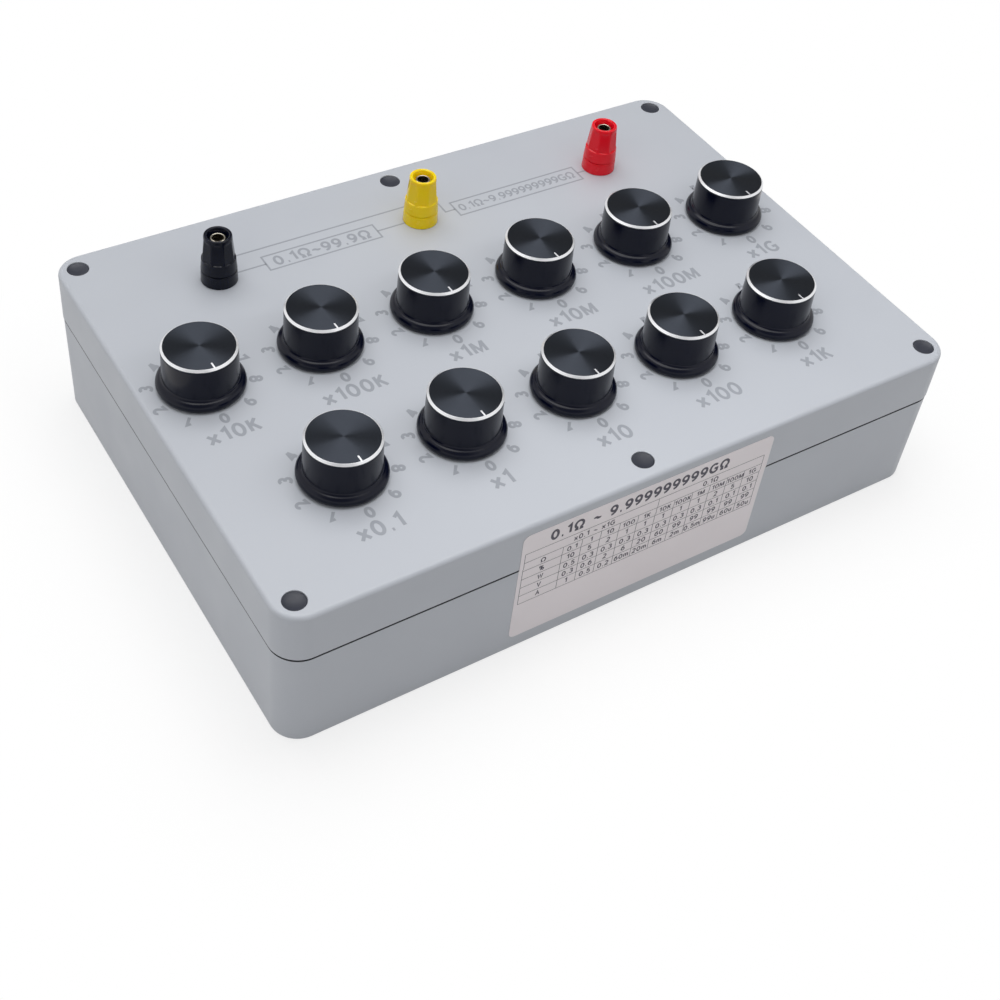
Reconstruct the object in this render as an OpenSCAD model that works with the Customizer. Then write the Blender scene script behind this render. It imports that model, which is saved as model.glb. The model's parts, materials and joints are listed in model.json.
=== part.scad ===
// Decade resistance box: a moulded two-part case with eleven decade switches
// and three binding posts. The origin is the centre of the base's underside,
// +X runs along the long side, +Y to the rear and +Z up.

/* [Case] */
// Length of the case at the seam
case_l = 263; // [255:1:300]
// Width of the case at the seam
case_w = 182; // [176:1:220]
// Height of the closed case
case_h = 60; // [56:1:90]
// Height of the lid above the seam
lid_h = 20; // [18:0.5:24]
// Thickness of the moulded walls and of the floor
wall = 3; // [2.4:0.1:3.6]
// Thickness of the lid's top panel
panel_t = 3; // [2.4:0.1:4]
// Radius of the upright corners at the seam
corner_r = 10; // [8:0.5:14]
// Radius of the lid's top edge
top_edge_r = 2.5; // [1:0.25:4]
// Radius of the base's bottom edge
foot_edge_r = 0.8; // [0.3:0.1:1.5]
// Draft of the moulded walls in degrees
draft = 0.25; // [0.25:0.25:2]
// Step of the base behind the lid at the seam
seam_step = 0.2; // [0.1:0.05:0.8]
// Open gap that shows at the seam
seam_gap = 0.7; // [0.1:0.05:1]
// Thickness of the rim on both shells
rim_t = 5.2; // [4.8:0.1:6]
// Height of the rim on both shells
rim_h = 5; // [3:0.5:8]

/* [Seal] */
// Wall between the base's outside and the seal groove
groove_inset = 1.6; // [1.2:0.1:2]
// Width of the seal groove
groove_w = 2; // [1.6:0.1:2.2]
// Depth of the seal groove
groove_d = 2.2; // [1.6:0.1:3]
// Depth of the lid's tongue in the groove
tongue_h = 0.5; // [0.3:0.1:0.9]
// Play of the tongue and the seal in the groove
seal_play = 0.1; // [0.05:0.05:0.3]

/* [Lid screws] */
// Distance of the screws from the case's ends
screw_inset_x = 7.5; // [7:0.25:9]
// Distance of the screws from the case's sides
screw_inset_y = 7.75; // [7.5:0.25:10]
// Radius of the recesses over the screws
recess_r = 3.8; // [3.7:0.1:4.5]
// Depth of the recesses over the screws
recess_depth = 13; // [8:0.5:14]
// Radius of the screw pillars
pillar_r = 6; // [5.4:0.1:7]
// Radius of the screw shanks
screw_r = 2; // [1.5:0.1:2.4]
// Length of the screw shanks
screw_l = 20; // [14:1:26]
// Radius of the screw heads
screw_head_r = 3.5; // [3:0.1:3.7]
// Height of the screw heads
screw_head_h = 2.6; // [1.6:0.1:3]
// Radial play of the screws in the lid
screw_play = 0.25; // [0.1:0.05:0.4]
// Length of the cover plugs over the screws
plug_l = 4; // [2:0.25:5]
// Drop of the cover plugs under the panel
plug_drop = 0.35; // [0.1:0.05:1]
// Depth of the dish in a cover plug's top
plug_dish = 0.6; // [0.1:0.05:1]
// Chamfer of a cover plug's top edge
plug_edge = 0.3; // [0.1:0.05:0.6]

/* [Standoffs] */
// Radius of the standoffs on the base's floor
standoff_r = 3.5; // [2.5:0.25:5]
// Height of the standoffs on the base's floor
standoff_h = 6; // [3:0.5:10]
// Radius of the pilot holes in the standoffs
pilot_r = 1.2; // [0.8:0.1:1.6]
// Distance between the standoffs along X
standoff_span_x = 100; // [70:1:105]
// Distance between the standoffs along Y
standoff_span_y = 120; // [60:1:140]

/* [Label] */
// Width of the label on the front wall
label_l = 100; // [60:1:140]
// Height of the label
label_h = 50; // [40:0.5:50]
// Lower edge of the label above the underside
label_z = 6; // [3:0.25:7]
// Radius of the label's corners
label_r = 2.5; // [0.5:0.25:5]
// Thickness of the label film
label_t = 0.15; // [0.1:0.05:0.4]
// Glue line behind the label
label_glue = 0.02; // [0.01:0.01:0.05]

/* [Dials] */
// Distance of the rear row's outer dials from the case's ends
dial_end = 23.25; // [22:0.25:36]
// Distance of the front row from the case's front side
row_inset = 45.5; // [40:0.5:52]
// Distance between the two rows of dials
row_pitch = 56.5; // [50:0.5:60]
// Shift of the dial layout to the right
dial_shift = -2; // [-4:0.5:4]

/* [Knobs] */
// Height of the knobs over the panel
knob_h = 16.8; // [15.6:0.1:20]
// Gap between the knobs and the panel
knob_gap = 0.6; // [0.3:0.1:1.2]
// Outer radius of the skirt's bead
skirt_r = 14.7; // [13.5:0.1:17]
// Radius of the bead's round
bead_r = 2.1; // [1.5:0.1:2.6]
// Height of the bead's widest line over its foot
bead_rise = 1.2; // [0.6:0.1:1.4]
// Turn of the bead's round over the widest line in degrees
bead_turn = 69; // [45:1:75]
// Radius of the flute between bead and grip
flute_r = 1.2; // [0.6:0.1:2]
// How much the grip's radius shrinks towards the top
grip_taper = 0.2; // [0.1:0.05:1]
// Thickness of the grip's wall
knob_wall = 1.6; // [1:0.1:2.4]
// Thickness of the knob's crown under the disc
crown_t = 1.4; // [0.8:0.1:2]
// Radius of the knob's hub
hub_r = 5.5; // [4.5:0.1:7]
// Thickness of the metal disc
disc_t = 1.2; // [0.9:0.1:1.6]
// Width and height of the bright cut round the disc
rim_cut = 0.55; // [0.3:0.05:0.8]
// Length of the pointer line
pointer_l = 2.6; // [1.5:0.1:6]
// Width of the pointer line
pointer_w = 0.6; // [0.4:0.1:1.2]
// Depth of the pointer line
pointer_d = 0.15; // [0.1:0.05:0.3]

/* [Switches] */
// Radius of the spindles
shaft_r = 3; // [2.5:0.1:3.2]
// Distance of the spindle's flat from its axis
shaft_flat = 1.6; // [1:0.1:2.4]
// Height of the spindles over the panel
shaft_up = 12.6; // [10:0.1:12.8]
// Running play of the spindles
shaft_play = 0.05; // [0.02:0.01:0.1]
// Play of a knob on its spindle
knob_fit = 0.03; // [0.01:0.01:0.06]
// Radius of the spindle's tail in the wafer
tail_r = 2; // [1.5:0.1:2.4]
// Radius of the threaded bushings
bushing_r = 4.5; // [4.2:0.1:5]
// Height of the bushings over the panel
bushing_up = 5; // [4:0.1:5.4]
// Play of the bushings in the panel
bushing_play = 0.15; // [0.1:0.05:0.3]
// Radius of the switch front plates
plate_r = 12; // [10:0.25:12.5]
// Thickness of the switch front plates
plate_t = 1.2; // [0.8:0.1:2]
// Radius of the switch bodies
switch_r = 13; // [12.5:0.25:15]
// Height of the switch bodies between plate and wafer
switch_h = 8; // [6.5:0.25:10]
// Wall of the switch bodies
switch_wall = 2; // [1.2:0.1:2.6]
// Thickness of the rotors
rotor_t = 3; // [2:0.25:4]
// Play round the rotors
rotor_play = 0.5; // [0.3:0.1:1]
// Thickness of the wafers
wafer_t = 1.6; // [1:0.1:2.4]
// Thickness of the lock washers
washer_t = 0.6; // [0.4:0.1:1]
// Radius of the lock washers
washer_r = 7.2; // [6.6:0.1:8.5]
// Distance across the flats of the panel nuts
panel_nut_af = 12; // [11:0.25:13]
// Thickness of the panel nuts
panel_nut_t = 2; // [1.5:0.1:3]

/* [Decade parts] */
// Positions of each dial
steps = 10; // [10:1:12]
// Radius of the circle that the lugs stand on
lug_ring_r = 11; // [10:0.25:12]
// Radius of the common lug's place
common_r = 5.5; // [4:0.25:7]
// Length of the lugs
lug_l = 6; // [4:0.25:9]
// Width of the lugs
lug_w = 1.6; // [1:0.1:2]
// Thickness of the lugs
lug_t = 0.6; // [0.4:0.1:1]
// Radius of a resistor's body
resistor_r = 1.1; // [0.8:0.1:1.3]
// Length of a resistor's body
resistor_l = 4; // [3:0.25:4.5]
// Radius of a resistor's leads
lead_r = 0.3; // [0.2:0.05:0.4]
// Gap between a lead and its lug
lead_gap = 0.3; // [0.2:0.05:0.5]
// Radius of the hook-up wires
wire_r = 0.8; // [0.5:0.1:1.2]
// Drop of the hook-up wires under the lugs
wire_drop = 3; // [2:0.25:4]

/* [Binding posts] */
// Distance of the outer posts from the case's ends
post_end = 50.5; // [48:0.5:70]
// Distance of the posts from the case's rear side
post_inset = 33.5; // [26:0.5:38]
// Shift of the posts to the right
post_shift = -1.5; // [-4:0.5:4]
// Height of the posts over the panel
post_h = 19.5; // [18.5:0.25:24]
// Radius of the collars
collar_r = 6.5; // [6:0.1:8]
// Height of the collars
collar_h = 4.9; // [4:0.1:6]
// Radius of the collar's top edge
collar_edge_r = 0.5; // [0.2:0.05:0.8]
// Radius of the collar's spigot in the panel
spigot_r = 4; // [3.4:0.1:4.6]
// Play of the spigot in the panel
spigot_play = 0.1; // [0.05:0.05:0.3]
// Gap under a cap that is screwed down
cap_gap = 0.3; // [0.2:0.05:0.6]
// Radius of the caps at the foot
cap_foot_r = 6.35; // [5.9:0.05:7]
// Radius of the caps at the top
cap_top_r = 5.3; // [5.1:0.05:5.8]
// Radius of the cap's top edge
cap_edge_r = 0.75; // [0.2:0.05:0.8]
// Number of flats on a cap
flat_n = 8; // [6:1:10]
// Lower end of the flats over the panel
flat_z = 9.9; // [8:0.1:14]
// Distance of the flats from the axis at their lower end
flat_foot = 5.4; // [5.2:0.05:5.6]
// Distance of the flats from the axis at the top
flat_top = 4.85; // [4.7:0.05:5.1]
// Turn of the flats about the axis in degrees
flat_turn = 17; // [0:1:45]
// Radius of the well in the cap's top
well_r = 4.05; // [3.6:0.05:4.2]
// Depth of the well in the cap's top
well_d = 2.6; // [1.6:0.1:4]
// How much the well narrows towards its floor
well_taper = 0.5; // [0:0.05:0.8]
// Radius of the lip round the well
well_lip = 0.35; // [0.1:0.05:0.4]
// Radius of the studs
stud_r = 2.7; // [2.5:0.05:2.9]
// Running play of the studs in the bushes
stud_play = 0.05; // [0.02:0.01:0.1]
// Drop of the stud's mouth under the cap's top
stud_drop = 1.3; // [0.6:0.1:2]
// Radius of the socket in a stud
socket_r = 2.05; // [2:0.01:2.1]
// Depth of the socket in a stud
socket_d = 16; // [12:0.5:16.5]
// Radius of the thread bush in a cap
bush_r = 3.8; // [3.4:0.1:4.2]
// Length of the thread bush in a cap
bush_l = 7; // [5:0.25:9]
// Radius of the stud's tail under the panel
post_tail_r = 2; // [1.5:0.1:2.2]
// Length of the stud's tail under the panel
post_tail_l = 10; // [8:0.5:14]
// Radius of the insulating washers under the panel
insulator_r = 6; // [5.2:0.1:8]
// Thickness of the insulating washers
insulator_t = 1.6; // [1:0.1:2.4]
// Radius of the solder tags' ring
tag_r = 4.4; // [3.8:0.1:5]
// Thickness of the solder tags
tag_t = 0.6; // [0.4:0.1:1]
// Reach of the solder tags from the post's axis
tag_reach = 11; // [8:0.25:14]
// Width of the solder tags' tails
tag_w = 3; // [2:0.1:4]
// Distance across the flats of the post nuts
post_nut_af = 8; // [7:0.25:10]
// Thickness of the post nuts
post_nut_t = 3.2; // [2:0.1:4]

/* [Hidden] */
$fn = 64;
hull_fn = 40;
edge_steps = 5;
over = 1;
hair = 0.02;

base_h = case_h - lid_h;
seam_z = base_h + seam_gap;
under_z = case_h - panel_t;
base_l = case_l - 2 * seam_step;
base_w = case_w - 2 * seam_step;
base_corner_r = corner_r - seam_step;
screw_x = case_l / 2 - screw_inset_x;
screw_y = case_w / 2 - screw_inset_y;
screw_places = [for (x = [-screw_x, 0, screw_x], y = [-screw_y, screw_y]) [x, y]];
recess_z = case_h - recess_depth;
screw_tip_z = recess_z - screw_l;
pad_r = screw_r + screw_play + 1.2;
standoff_places = [for (x = [-1, 0, 1], y = [-0.5, 0.5]) [x * standoff_span_x, y * standoff_span_y]];

plate_z = under_z - plate_t;
ring_z = plate_z - switch_h;
wafer_z = ring_z - wafer_t;
rotor_z = ring_z + rotor_play;
rotor_r = switch_r - switch_wall - rotor_play;
shaft_collar_r = shaft_r + 1.5;
lug_z = wafer_z - lug_l;
wire_z = lug_z - wire_drop;

bead_z = knob_gap + bead_rise;
bead_x = skirt_r - bead_r;
flute_x = bead_x + (bead_r + flute_r) * cos(bead_turn);
flute_z = bead_z + (bead_r + flute_r) * sin(bead_turn);
grip_foot_r = flute_x - flute_r;
grip_top_r = grip_foot_r - grip_taper;
disc_z = knob_h - disc_t;
pocket_r = grip_top_r - knob_wall;
pocket_z = disc_z - crown_t;
hub_z = bushing_up + knob_gap;

cap_z = collar_h + cap_gap;
stud_top = post_h - stud_drop;
seat_z = stud_top - socket_d - 1;
tag_z = under_z - insulator_t - tag_t;
post_nut_z = tag_z - post_nut_t;

decades = ["0r1", "1r", "10r", "100r", "1k", "10k", "100k", "1m", "10m", "100m", "1g"];
front_count = 5;
rear_count = len(decades) - front_count;
dial_pitch = (case_l - 2 * dial_end) / (rear_count - 1);
front_row_y = row_inset - case_w / 2;
rear_row_y = front_row_y + row_pitch;
colours = ["black", "yellow", "red"];
post_pitch = (case_l - 2 * post_end) / (len(colours) - 1);
post_y = case_w / 2 - post_inset;
post_tints = ["#1B1D21", "#DDBB0A", "#C8142A"];
nickel = "#C9C6BC";
grey_abs = "#C2C6CC";

// Inward lean of a drafted wall over a height
function lean(h) = h * tan(draft);

// Points of an arc from one angle to another
function arc(c, r, a0, a1, n = edge_steps) =
  [for (i = [0:n]) c + r * [cos(a0 + (a1 - a0) * i / n), sin(a0 + (a1 - a0) * i / n)]];

// Direction of a vector
function unit(v) = v / norm(v);

// Place of a dial's axis on the panel
function dial_xy(i) = i < front_count
  ? [dial_shift + (i - (front_count - 1) / 2) * dial_pitch, front_row_y]
  : [dial_shift + (i - front_count - (rear_count - 1) / 2) * dial_pitch, rear_row_y];

// Place of a post's axis on the panel
function post_xy(i) = [post_shift + (i - (len(colours) - 1) / 2) * post_pitch, post_y];

// Angle of a dial position: the first faces the front and they run clockwise
function step_angle(k) = -90 - k * 360 / steps;

// Place of a lug, and of the common lug, seen from the switch's axis
function lug_xy(k) = lug_ring_r * [cos(step_angle(k)), sin(step_angle(k))];
common_xy = [0, common_r];

module corners(l, w, r) {
  for (sx = [-1, 1], sy = [-1, 1])
    translate([sx * (l / 2 - r), sy * (w / 2 - r), 0]) children();
}

module rounded_rect(l, w, r) {
  square([l - 2 * r, w], center = true);
  square([l, w - 2 * r], center = true);
  corners(l, w, r) circle(r);
}

// A flat ring that follows the base's outline, a set distance inside it
module seam_ring(inset, width, z, h) {
  translate([0, 0, z]) linear_extrude(h) difference() {
    rounded_rect(base_l - 2 * inset, base_w - 2 * inset, base_corner_r - inset);
    rounded_rect(base_l - 2 * (inset + width), base_w - 2 * (inset + width), base_corner_r - inset - width);
  }
}

module rim_opening(z, h) {
  translate([0, 0, z]) linear_extrude(h)
    rounded_rect(case_l - 2 * rim_t, case_w - 2 * rim_t, corner_r - rim_t);
}

module at_screws(z) {
  for (p = screw_places) translate([p.x, p.y, z]) children();
}

module at_dials(z) {
  for (i = [0:len(decades) - 1]) translate([dial_xy(i).x, dial_xy(i).y, z]) children();
}

module at_posts(z) {
  for (i = [0:len(colours) - 1]) translate([post_xy(i).x, post_xy(i).y, z]) children();
}

module tube(r_out, r_in, h) {
  difference() {
    cylinder(h = h, r = r_out);
    translate([0, 0, -over]) cylinder(h = h + 2 * over, r = r_in);
  }
}

module hex_nut(af, hole_r, h) {
  difference() {
    cylinder(h = h, r = af / 2 / cos(30), $fn = 6);
    translate([0, 0, -over]) cylinder(h = h + 2 * over, r = hole_r);
  }
}

// A rod with one flat along its rear side
module flatted_rod(r, flat, h) {
  difference() {
    cylinder(h = h, r = r);
    translate([-r, flat, -over]) cube([2 * r, r, h + 2 * over]);
  }
}

module base_form() {
  foot_r = base_corner_r - lean(base_h);
  edge = arc([foot_r - foot_edge_r, foot_edge_r], foot_edge_r, -90, 0);
  hull() corners(base_l, base_w, base_corner_r)
    rotate_extrude($fn = hull_fn)
      polygon(concat([[0, 0]], edge, [[base_corner_r, base_h], [0, base_h]]));
}

module base_cavity() {
  cavity_r = base_corner_r - wall;
  hull() corners(base_l, base_w, base_corner_r)
    translate([0, 0, wall])
      cylinder(h = base_h - rim_h - wall, r1 = cavity_r - lean(base_h - wall),
        r2 = cavity_r - lean(rim_h), $fn = hull_fn);
  rim_opening(base_h - rim_h - over, rim_h + 2 * over);
}

module base_shell() {
  color(grey_abs) difference() {
    base_form();
    difference() {
      base_cavity();
      at_screws(0) cylinder(h = base_h, r = pillar_r);
      for (p = standoff_places) translate([p.x, p.y, 0]) cylinder(h = wall + standoff_h, r = standoff_r);
    }
    at_screws(screw_tip_z - over) cylinder(h = base_h - screw_tip_z + 2 * over, r = screw_r + hair);
    for (p = standoff_places) translate([p.x, p.y, wall]) cylinder(h = standoff_h + over, r = pilot_r);
    seam_ring(groove_inset, groove_w, base_h - groove_d, groove_d + over);
  }
}

module lid_form() {
  top_r = corner_r - lean(case_h - seam_z);
  edge = arc([top_r - top_edge_r, case_h - top_edge_r], top_edge_r, 0, 90);
  hull() corners(case_l, case_w, corner_r)
    rotate_extrude($fn = hull_fn)
      polygon(concat([[0, seam_z], [corner_r, seam_z]], edge, [[0, case_h]]));
}

module lid_cavity() {
  cavity_r = corner_r - wall;
  hull() corners(case_l, case_w, corner_r)
    translate([0, 0, seam_z + rim_h])
      cylinder(h = under_z - seam_z - rim_h, r1 = cavity_r - lean(rim_h),
        r2 = cavity_r - lean(under_z - seam_z), $fn = hull_fn);
  rim_opening(seam_z - over, rim_h + 2 * over);
}

module lid_shell() {
  color(grey_abs) difference() {
    union() {
      difference() {
        lid_form();
        difference() {
          lid_cavity();
          at_screws(seam_z - over) cylinder(h = lid_h, r = pillar_r);
        }
      }
      at_screws(base_h) cylinder(h = seam_gap + over, r = pad_r);
      seam_ring(groove_inset + seal_play, groove_w - 2 * seal_play, base_h - tongue_h,
        tongue_h + seam_gap + over);
    }
    at_screws(recess_z) cylinder(h = recess_depth + over, r = recess_r);
    at_screws(base_h - over) cylinder(h = lid_h, r = screw_r + screw_play);
    at_dials(under_z - over) cylinder(h = panel_t + 2 * over, r = bushing_r + bushing_play);
    at_posts(under_z - over) cylinder(h = panel_t + 2 * over, r = spigot_r + spigot_play);
  }
}

module seam_seal() {
  color("#26282B")
    seam_ring(groove_inset + seal_play, groove_w - 2 * seal_play, base_h - groove_d,
      groove_d - tongue_h - seal_play);
}

// Pan-head screw with a cross recess
module lid_screws() {
  slot_w = screw_head_r / 3;
  slot_l = screw_head_r * 1.1;
  slot_d = screw_head_h / 2;
  color("#8A8C90") at_screws(recess_z) difference() {
    union() {
      rotate_extrude() polygon(concat([[0, 0], [screw_head_r, 0]],
        arc([screw_head_r - screw_head_h / 2, screw_head_h / 2], screw_head_h / 2, 0, 90),
        [[0, screw_head_h]]));
      translate([0, 0, -screw_l]) cylinder(h = screw_l + hair, r = screw_r);
    }
    for (a = [0, 90]) rotate(a)
      translate([-slot_l / 2, -slot_w / 2, screw_head_h - slot_d]) cube([slot_l, slot_w, slot_d + over]);
  }
}

// Press-in covers over the screws, dished on top
module screw_plugs() {
  plug_r = recess_r - hair;
  color("#4A4C55") at_screws(case_h - plug_drop - plug_l) rotate_extrude()
    polygon([[0, 0], [plug_r, 0], [plug_r, plug_l - plug_edge], [plug_r - plug_edge, plug_l],
      [0, plug_l - plug_dish]]);
}

// A film that lies on both front walls and bridges the seam's step
module front_label() {
  top_z = label_z + label_h;
  base_y = base_w / 2 + label_glue;
  lid_y = case_w / 2 + label_glue;
  back = [
    [-base_y + lean(base_h - label_z), label_z],
    [-base_y, base_h],
    [-lid_y, seam_z],
    [-lid_y + lean(top_z - seam_z), top_z]
  ];
  front = [for (i = [3:-1:0]) back[i] - [label_t, 0]];
  color("#D5CECD") intersection() {
    rotate([90, 0, 90]) linear_extrude(label_l, center = true) polygon(concat(back, front));
    translate([0, -case_w / 2 + wall, label_z + label_h / 2]) rotate([90, 0, 0])
      linear_extrude(2 * wall) rounded_rect(label_l, label_h, label_r);
  }
}

module knob() {
  bead_low = asin(bead_rise / bead_r);
  color("#17181B") translate([0, 0, case_h]) difference() {
    rotate_extrude() polygon(concat(
      [[pocket_r, knob_gap]],
      arc([bead_x, bead_z], bead_r, -bead_low, bead_turn, 2 * edge_steps),
      arc([flute_x, flute_z], flute_r, 180 + bead_turn, 180),
      [[grip_top_r, disc_z], [0, disc_z], [0, hub_z], [hub_r, hub_z], [hub_r, pocket_z], [pocket_r, pocket_z]]
    ));
    translate([0, 0, hub_z - over])
      flatted_rod(shaft_r + knob_fit, shaft_flat + knob_fit, shaft_up + knob_fit - hub_z + over);
  }
}

// Turned disc with a bright cut rim and a pointer line at the front
module knob_disc() {
  face_r = grip_top_r - rim_cut;
  color("#303236") translate([0, 0, case_h]) difference() {
    rotate_extrude() polygon([[0, disc_z], [grip_top_r, disc_z], [grip_top_r, knob_h - rim_cut],
      [face_r, knob_h], [0, knob_h]]);
    translate([-pointer_w / 2, -face_r - rim_cut / 2, knob_h - pointer_d])
      cube([pointer_w, pointer_l + rim_cut / 2, pointer_d + over]);
  }
}

// Spindle with its rotor, its stop collar and its tail
module spindle() {
  flat_l = shaft_up - hub_z + over;
  color("#B9B7AE") union() {
    translate([0, 0, wafer_z]) cylinder(h = rotor_z - wafer_z + hair, r = tail_r);
    translate([0, 0, rotor_z]) cylinder(h = rotor_t, r = rotor_r);
    translate([0, 0, rotor_z]) cylinder(h = plate_z - rotor_play - rotor_z, r = shaft_collar_r);
    translate([0, 0, rotor_z]) cylinder(h = case_h + shaft_up - flat_l - rotor_z, r = shaft_r);
    translate([0, 0, case_h + shaft_up - flat_l - hair]) flatted_rod(shaft_r, shaft_flat, flat_l + hair);
  }
}

module switch_plates() {
  color("#A9ABAE") at_dials(0) difference() {
    union() {
      translate([0, 0, plate_z]) cylinder(h = plate_t, r = plate_r);
      translate([0, 0, plate_z]) cylinder(h = case_h + bushing_up - plate_z, r = bushing_r);
    }
    translate([0, 0, plate_z - over])
      cylinder(h = case_h + bushing_up - plate_z + 2 * over, r = shaft_r + shaft_play);
  }
}

module switch_bodies() {
  color("#3A2A1E") at_dials(ring_z) tube(switch_r, switch_r - switch_wall, switch_h);
}

module switch_wafers() {
  color("#8A5A2B") at_dials(wafer_z) tube(switch_r, tail_r + shaft_play, wafer_t);
}

module lug() {
  translate([-lug_t / 2, -lug_w / 2, -lug_l]) cube([lug_t, lug_w, lug_l]);
}

module switch_lugs() {
  color(nickel) at_dials(wafer_z) {
    for (k = [0:steps - 1]) translate(lug_xy(k)) rotate(step_angle(k) + 90) lug();
    translate(common_xy) lug();
  }
}

module lock_washers() {
  color("#B5B6B8") at_dials(case_h) tube(washer_r, bushing_r + hair, washer_t);
}

module panel_nuts() {
  color(nickel) at_dials(case_h + washer_t) hex_nut(panel_nut_af, bushing_r + hair, panel_nut_t);
}

// One resistor between each pair of neighbouring lugs
module decade_resistors() {
  mid_r = lug_ring_r * cos(180 / steps);
  lead_l = 2 * lug_ring_r * sin(180 / steps) - lug_t - 2 * lead_gap;
  color("#4C7FA8") at_dials(lug_z + lug_l / 3)
    for (k = [0:steps - 2]) rotate(step_angle(k + 0.5)) translate([mid_r, 0, 0]) rotate([90, 0, 0]) {
      cylinder(h = resistor_l, r = resistor_r, center = true);
      cylinder(h = lead_l, r = lead_r, center = true);
    }
}

// An eight-sided wire through points that lie in one upright plane
module wire(points) {
  sides = 8;
  last = len(points) - 1;
  runs = [for (i = [0:last - 1]) unit(points[i + 1] - points[i])];
  across = unit(cross(runs[0], runs[1]));
  lifts = [for (run = runs) cross(across, run)];
  mitres = [for (i = [0:last])
    let (a = lifts[max(i - 1, 0)], b = lifts[min(i, last - 1)]) (a + b) / (1 + a * b)];
  rings = [for (i = [0:last], k = [0:sides - 1])
    points[i] + wire_r * (cos(360 * k / sides) * across + sin(360 * k / sides) * mitres[i])];
  sleeve = [for (i = [0:last - 1], k = [0:sides - 1])
    let (a = i * sides, b = a + sides, next = (k + 1) % sides) [a + k, a + next, b + next, b + k]];
  ends = [[for (k = [sides - 1:-1:0]) k], [for (k = [0:sides - 1]) last * sides + k]];
  polyhedron(rings, concat(sleeve, ends));
}

// A wire from one lug down to its level, across and up to another lug
module link(from, to, level) {
  rise = lug_z - hair - level;
  a = [from.x, from.y, level];
  b = [to.x, to.y, level];
  wire([a + [0, 0, rise], a, b, b + [0, 0, rise]]);
}

// A wire from a post's solder tag to a lug
module post_lead(i, to, level) {
  a = [post_xy(i).x, post_xy(i).y - tag_reach + tag_w / 2, level];
  b = [to.x, to.y, level];
  wire([[a.x, a.y, tag_z - hair], a, b, [b.x, b.y, lug_z - hair]]);
}

module hookup_wires() {
  low_z = wire_z - 3 * wire_r;
  last = len(decades) - 1;
  color("#8C1D24") {
    for (i = [0:last - 1])
      link(dial_xy(i) + lug_xy(steps - 1), dial_xy(i + 1) + common_xy,
        i == front_count - 1 ? low_z - 3 * wire_r : wire_z);
    post_lead(0, dial_xy(0) + common_xy, low_z);
    post_lead(1, dial_xy(2) + lug_xy(steps - 2), low_z);
    post_lead(2, dial_xy(last) + lug_xy(steps - 1), low_z);
  }
}

module post_collar(i) {
  color(post_tints[i]) translate([0, 0, case_h]) difference() {
    union() {
      rotate_extrude() polygon(concat([[0, 0], [collar_r, 0]],
        arc([cap_foot_r - collar_edge_r, collar_h - collar_edge_r], collar_edge_r, 0, 90), [[0, collar_h]]));
      translate([0, 0, -panel_t]) cylinder(h = panel_t + hair, r = spigot_r);
    }
    translate([0, 0, seat_z]) cylinder(h = collar_h - seat_z + over, r = stud_r + hair);
    translate([0, 0, -panel_t - over]) cylinder(h = panel_t + collar_h, r = post_tail_r + hair);
  }
}

// Screw cap: a cone with flats that run out on its lower half
module post_cap(i) {
  flat_lean = atan((flat_foot - flat_top) / (post_h - flat_z));
  bush_top = cap_z + bush_l;
  color(post_tints[i]) translate([0, 0, case_h]) difference() {
    rotate_extrude() polygon(concat([[0, cap_z], [cap_foot_r, cap_z]],
      arc([cap_top_r - cap_edge_r, post_h - cap_edge_r], cap_edge_r, 0, 90), [[0, post_h]]));
    for (k = [0:flat_n - 1]) rotate(flat_turn + k * 360 / flat_n)
      translate([flat_foot, 0, flat_z]) rotate([0, -flat_lean, 0])
        translate([0, -cap_foot_r, 0]) cube([cap_foot_r, 2 * cap_foot_r, post_h]);
    translate([0, 0, cap_z - over]) cylinder(h = bush_l + hair + over, r = bush_r + stud_play);
    translate([0, 0, bush_top]) cylinder(h = post_h - bush_top, r = stud_r + cap_gap);
    rotate_extrude() polygon(concat([[0, post_h - well_d], [well_r - well_taper, post_h - well_d]],
      arc([well_r + well_lip, post_h - well_lip], well_lip, 180, 90),
      [[well_r + well_lip, post_h + over], [0, post_h + over]]));
  }
}

module post_bush(i) {
  color("#B8923A") translate([0, 0, case_h + cap_z]) tube(bush_r, stud_r + stud_play, bush_l);
}

module post_studs() {
  color(nickel) at_posts(case_h) difference() {
    union() {
      translate([0, 0, seat_z + hair]) cylinder(h = stud_top - seat_z - hair, r = stud_r);
      translate([0, 0, -panel_t - post_tail_l])
        cylinder(h = panel_t + post_tail_l + seat_z + over, r = post_tail_r);
    }
    translate([0, 0, stud_top - socket_d]) cylinder(h = socket_d + over, r = socket_r);
  }
}

module post_insulators() {
  color("#E4E0D4") at_posts(under_z - insulator_t) tube(insulator_r, post_tail_r + hair, insulator_t);
}

module post_tags() {
  color(nickel) at_posts(tag_z) difference() {
    union() {
      cylinder(h = tag_t, r = tag_r);
      translate([-tag_w / 2, -tag_reach, 0]) cube([tag_w, tag_reach, tag_t]);
    }
    translate([0, 0, -over]) cylinder(h = tag_t + 2 * over, r = post_tail_r + hair);
  }
}

module post_nuts() {
  color(nickel) at_posts(post_nut_z) hex_nut(post_nut_af, post_tail_r + hair, post_nut_t);
}

module at_dial(i) {
  translate([dial_xy(i).x, dial_xy(i).y, 0]) children();
}

module at_post(i) {
  translate([post_xy(i).x, post_xy(i).y, 0]) children();
}

base_shell();
lid_shell();
seam_seal();
lid_screws();
screw_plugs();
front_label();
for (i = [0:len(decades) - 1]) {
  at_dial(i) knob();
  at_dial(i) knob_disc();
  at_dial(i) spindle();
}
switch_plates();
switch_bodies();
switch_wafers();
switch_lugs();
lock_washers();
panel_nuts();
decade_resistors();
hookup_wires();
for (i = [0:len(colours) - 1]) {
  at_post(i) post_collar(i);
  at_post(i) post_cap(i);
  at_post(i) post_bush(i);
}
post_studs();
post_insulators();
post_tags();
post_nuts();
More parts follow.
